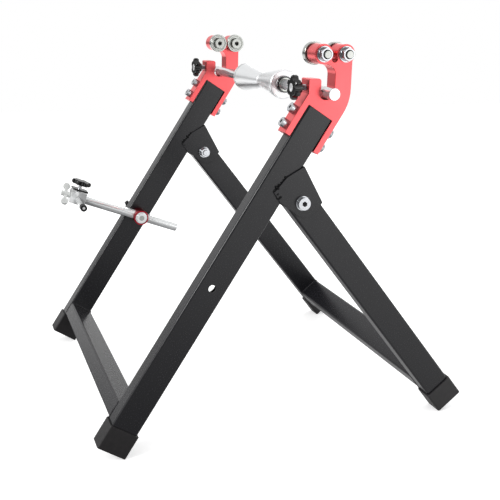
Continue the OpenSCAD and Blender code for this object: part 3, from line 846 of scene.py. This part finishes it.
@dataclass
class ClampScrews(Part):
    """The star-knob screws that hold the shaft in its slots."""

    edge_mm: float = 0.8
    core_mm: Profile = (
        (0.0, 0.0), (3.36, 0.0), (3.36, 31.0), (3.0, 31.6), (3.0, 35.7), (2.5, 36.2), (0.0, 36.2),
    )
    thread_mm: float = 8.0
    pitch_mm: float = 1.25
    threaded_mm: float = 30.5
    disc_mm: Profile = (
        (0.0, -0.3), (0.0, 0.35), (4.9, 0.35), (5.3, 0.2), (5.6, -0.3),
    )

    def build(self) -> None:
        """Makes the screws and their knobs."""
        for side in SIDES:
            self.screw(side)
            knob = f"{side}_clamp_knob"
            self.broken_edges(knob, f"{side}_star_knob", knob, PHENOLIC, self.edge_mm)
            face = placed(AHEAD, face_middle(knob, AHEAD))
            disc = copies(f"{side}_knob_disc", turned(self.disc_mm), [face])
            self.join_body(disc, TURNED_ALUMINIUM, knob)

    def screw(self, side: str) -> None:
        """Turns a clamp screw's core and winds its thread.

        Args:
            side: Side of the stand that the screw is on.
        """
        node = f"{side}_clamp_screw"
        low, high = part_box(node)
        length = (high[1] - low[1]) / MM
        core = tuple((radius, min(height, length)) for radius, height in self.core_mm)
        place = [placed(-AHEAD, face_middle(node, AHEAD))]
        ridge = wound_thread(self.thread_mm, self.pitch_mm, self.threaded_mm)
        thread = copies(f"{side}_clamp_thread", ridge, place)
        self.join_body(thread, BRIGHT_ZINC, node)
        stud = copies(f"{side}_clamp_stud", turned(core), place)
        self.join_body(stud, BRIGHT_ZINC, node, node)


@dataclass
class PointerArm(Part):
    """The clamped arm with its pointer on the left leg."""

    edge_mm: float = 0.5
    slope_deg: float = 20.0
    knob_h_mm: float = 13.0
    knob_edge_mm: float = 0.8
    boss_cut_mm: float = 3.0
    inlay_mm: Profile = ((0.0, -0.3), (0.0, 0.1), (4.6, 0.1), (4.9, -0.3))
    inlay_flats: int = 48

    def build(self) -> None:
        """Makes the clamps, rods, knobs and the pointer."""
        # The rods and the stud wear painted sheen: half of their chrome is a white diffuse coat
        for node, body, finish in (
            ("arm_clamp", "arm_clamp", DEEP_RED),
            ("arm_stud", "arm_clamp", CHROME_PAINTED_SHEEN),
            ("arm_knob", "arm_knob", PHENOLIC),
            ("arm_rod", "arm_rod", CHROME_PAINTED_SHEEN),
            ("cross_clamp", "cross_clamp", DIPPED_PAINTED_SHEEN),
            ("cross_clamp_plate", "cross_clamp", PHENOLIC),
            ("cross_clamp_screw", "cross_knob", BRIGHT_ZINC),
            ("wing_screw", "wing_screw", NATURAL_NYLON),
            ("pointer_rod", "pointer", CHROME_PAINTED_SHEEN),
            ("pointer_tip", "pointer", DARK_NYLON_AND_SHADE),
        ):
            self.broken_edges(node, f"{node}_finished", body, finish, self.edge_mm)
        self.knob()
        face = placed(OUTWARDS["right"], face_middle("arm_stud", OUTWARDS["right"]))
        inlay = copies("arm_stud_inlay", turned(self.inlay_mm, self.inlay_flats), [face])
        self.join_body(inlay, BEARING_STEEL, "arm_clamp")

    def knob(self) -> None:
        """Makes the cross clamp's knob, with a boss short enough to show the screw below it."""
        slope = math.radians(self.slope_deg)
        up = Vector((0, math.sin(slope), math.cos(slope)))
        foot = middle("cross_clamp_knob") - up * (self.knob_h_mm / 2 - self.boss_cut_mm) * MM
        self.broken_edges(
            "cross_clamp_knob", "cross_clamp_star_knob", "cross_knob", PHENOLIC, self.knob_edge_mm,
            trim=(foot, -up),
        )


@dataclass(frozen=True)
class SoftBox:
    """A square soft box that looks at the stand: its place and width in metres, its power in watts."""

    name: str
    place: tuple[float, float, float]
    width: float
    power: float


@dataclass
class Studio:
    """A pale floor, soft lamps and the camera at the photograph's angle.

    The paints show what lies round them, so the room is bright at its horizon, darker below it,
    and has one dark side, and the floor is dark in front of the stand.
    """

    azimuth_deg: float = 70.74
    elevation_deg: float = 15.0
    roll_deg: float = -1.06
    place_mm: tuple[float, float, float] = (1216.8, -440.8, 576.3)
    focal_px: float = 817.94
    centre_px: tuple[float, float] = (230.35, 239.11)
    frame_px: float = 500.0
    sensor_mm: float = 36.0
    clip_m: tuple[float, float] = (0.05, 50.0)
    fill: Ramp = Ramp(0.0, 0.8, 0.45, 0.8)
    horizon: Ramp = Ramp(-0.02, 0.12, 0.15, 0.95)
    dark_side: tuple[float, float, float] = (0.88, -0.2, 0.35)
    dark_patch: Ramp = Ramp(0.78, 0.92, 1.0, 0.12)
    aim: tuple[float, float, float] = (0, 0, 0.3)
    boxes: tuple[SoftBox, ...] = (
        SoftBox("key box", (0.9, -2.2, 1.5), 0.8, 36.0),
        SoftBox("side box", (2.2, 1.3, 0.25), 1.1, 8.0),
        SoftBox("back box", (-1.6, 1.4, 1.8), 1.4, 22.0),
    )
    floor_m: float = 8.0
    glow: float = 0.45
    floor_way: tuple[float, float, float] = (0.35, 0.94, 0.0)
    floor_mirrored: Ramp = Ramp(-0.15, 0.85, 0.06, 1.0)
    floor_behind: Ramp = Ramp(-0.5, -1.0, 0.0, 1.0)

    def build(self) -> None:
        """Makes the camera, the lamps, the world and the floor."""
        self.camera()
        self.world()
        self.lamps()
        self.floor()
        bpy.context.scene.view_settings.view_transform = "Standard"

    def camera(self) -> None:
        """Places the camera where the photograph was taken from."""
        azimuth, elevation, roll = map(
            math.radians, (self.azimuth_deg, self.elevation_deg, self.roll_deg),
        )
        back = Vector((
            math.sin(azimuth) * math.cos(elevation), -math.cos(azimuth) * math.cos(elevation),
            math.sin(elevation),
        ))
        level = (-back).cross(Vector((0, 0, 1))).normalized()
        down = (-back).cross(level)
        right = math.cos(roll) * level + math.sin(roll) * down
        up = math.sin(roll) * level - math.cos(roll) * down
        data = bpy.data.cameras.new("view")
        data.sensor_width = self.sensor_mm
        data.lens = self.focal_px / self.frame_px * data.sensor_width
        data.shift_x = 0.5 - self.centre_px[0] / self.frame_px
        data.shift_y = self.centre_px[1] / self.frame_px - 0.5
        data.clip_start, data.clip_end = self.clip_m
        camera = bpy.data.objects.new("view", data)
        bpy.context.scene.collection.objects.link(camera)
        turn = Matrix((right, up, back)).transposed().to_4x4()
        camera.matrix_world = Matrix.Translation(Vector(self.place_mm) * MM) @ turn
        bpy.context.scene.camera = camera

    def world(self) -> None:
        """Lights softly from all sides, and shows white to the camera and a room to the metal."""
        world = bpy.data.worlds.new("studio")
        bpy.context.scene.world = world
        world.use_nodes = True
        tree = world.node_tree
        tree.nodes.clear()
        white = linear("#ffffff")
        place = add_node(tree, "ShaderNodeTexCoord", {}, {})
        height = add_node(tree, "ShaderNodeSeparateXYZ", {}, {"Vector": place.outputs["Generated"]})
        rise = add_node(tree, "ShaderNodeMapRange", {}, self.fill.inputs(height.outputs["Z"]))
        horizon = add_node(tree, "ShaderNodeMapRange", {}, self.horizon.inputs(height.outputs["Z"]))
        toward = add_node(
            tree, "ShaderNodeVectorMath", {"operation": "DOT_PRODUCT"},
            {0: place.outputs["Generated"], 1: Vector(self.dark_side).normalized()},
        )
        patch = add_node(tree, "ShaderNodeMapRange", {}, self.dark_patch.inputs(toward.outputs["Value"]))
        mirrored = add_node(
            tree, "ShaderNodeMath", {"operation": "MULTIPLY"},
            {0: horizon.outputs["Result"], 1: patch.outputs["Result"]},
        )
        path = add_node(tree, "ShaderNodeLightPath", {}, {})
        shiny = add_node(
            tree, "ShaderNodeMath", {"operation": "MAXIMUM"},
            {0: path.outputs["Is Glossy Ray"], 1: path.outputs["Is Transmission Ray"]},
        )
        fill, room, seen = (
            add_node(tree, "ShaderNodeBackground", {}, {"Color": white, "Strength": strength})
            for strength in (rise.outputs["Result"], mirrored.outputs[0], 1.0)
        )
        around = add_node(
            tree, "ShaderNodeMixShader", {}, {0: shiny.outputs[0], 1: fill.outputs[0], 2: room.outputs[0]},
        )
        mixed = add_node(
            tree, "ShaderNodeMixShader", {},
            {0: path.outputs["Is Camera Ray"], 1: around.outputs[0], 2: seen.outputs[0]},
        )
        add_node(tree, "ShaderNodeOutputWorld", {}, {"Surface": mixed.outputs[0]})

    def lamps(self) -> None:
        """Hangs the soft boxes round the stand."""
        for box in self.boxes:
            data = bpy.data.lights.new(box.name, "AREA")
            data.shape = "SQUARE"
            data.size = box.width
            data.energy = box.power
            lamp = bpy.data.objects.new(box.name, data)
            bpy.context.scene.collection.objects.link(lamp)
            lamp.location = box.place
            lamp.rotation_euler = (Vector(self.aim) - Vector(box.place)).to_track_quat("-Z", "Y").to_euler()

    def floor(self) -> None:
        """Lays a floor that shows white to the camera and keeps the stand's shadow.

        Other rays see it grey, and reflections see it dark in front of the stand and glowing
        farther off: painted reflection, from a floor that is no lamp.
        """
        bpy.ops.mesh.primitive_plane_add(size=self.floor_m, location=(0, 0, 0))
        plane = new_primitive()
        plane.name = "studio_floor"
        mat = bpy.data.materials.new("paper_with_painted_glow")
        mat.use_nodes = True
        tree = mat.node_tree
        tree.nodes.clear()
        paper = add_node(tree, "ShaderNodeBsdfDiffuse", {}, {"Color": linear("#f4f4f4")})
        bounce = add_node(tree, "ShaderNodeBsdfDiffuse", {}, {"Color": linear("#7c7c7e")})
        # Painted reflection: a glow that only reflections see, though the floor is no lamp
        glow = add_node(tree, "ShaderNodeEmission", {}, {"Color": linear("#ffffff"), "Strength": self.glow})
        path = add_node(tree, "ShaderNodeLightPath", {}, {})
        lit = add_node(tree, "ShaderNodeAddShader", {}, {0: paper.outputs[0], 1: glow.outputs[0]})
        place = add_node(tree, "ShaderNodeTexCoord", {}, {})
        along = add_node(
            tree, "ShaderNodeVectorMath", {"operation": "DOT_PRODUCT"},
            {0: place.outputs["Object"], 1: self.floor_way},
        )
        ramp = add_node(tree, "ShaderNodeMapRange", {}, self.floor_mirrored.inputs(along.outputs["Value"]))
        across = add_node(tree, "ShaderNodeSeparateXYZ", {}, {"Vector": place.outputs["Object"]})
        behind = add_node(tree, "ShaderNodeMapRange", {}, self.floor_behind.inputs(across.outputs["X"]))
        bright = add_node(
            tree, "ShaderNodeMath", {"operation": "MAXIMUM"},
            {0: ramp.outputs["Result"], 1: behind.outputs["Result"]},
        )
        shiny = add_node(
            tree, "ShaderNodeMath", {"operation": "MAXIMUM"},
            {0: path.outputs["Is Glossy Ray"], 1: path.outputs["Is Transmission Ray"]},
        )
        partly = add_node(
            tree, "ShaderNodeMath", {"operation": "MULTIPLY"}, {0: shiny.outputs[0], 1: bright.outputs[0]},
        )
        share = add_node(
            tree, "ShaderNodeMath", {"operation": "MAXIMUM"},
            {0: path.outputs["Is Camera Ray"], 1: partly.outputs[0]},
        )
        mixed = add_node(
            tree, "ShaderNodeMixShader", {}, {0: share.outputs[0], 1: bounce.outputs[0], 2: lit.outputs[0]},
        )
        add_node(tree, "ShaderNodeOutputMaterial", {}, {"Surface": mixed.outputs[0]})
        plane.data.materials.append(mat)


def main() -> None:
    """Builds the studio and every sub-assembly in order."""
    logging.basicConfig(level=logging.INFO, format="%(name)s: %(message)s")
    Studio().build()
    for part in (Stand(), Heads(), Rollers(), Axle(), ClampScrews(), PointerArm()):
        part.build()
        LOG.info("%s: %s", type(part).__name__, ", ".join(part.made))


if __name__ == "__main__":
    main()
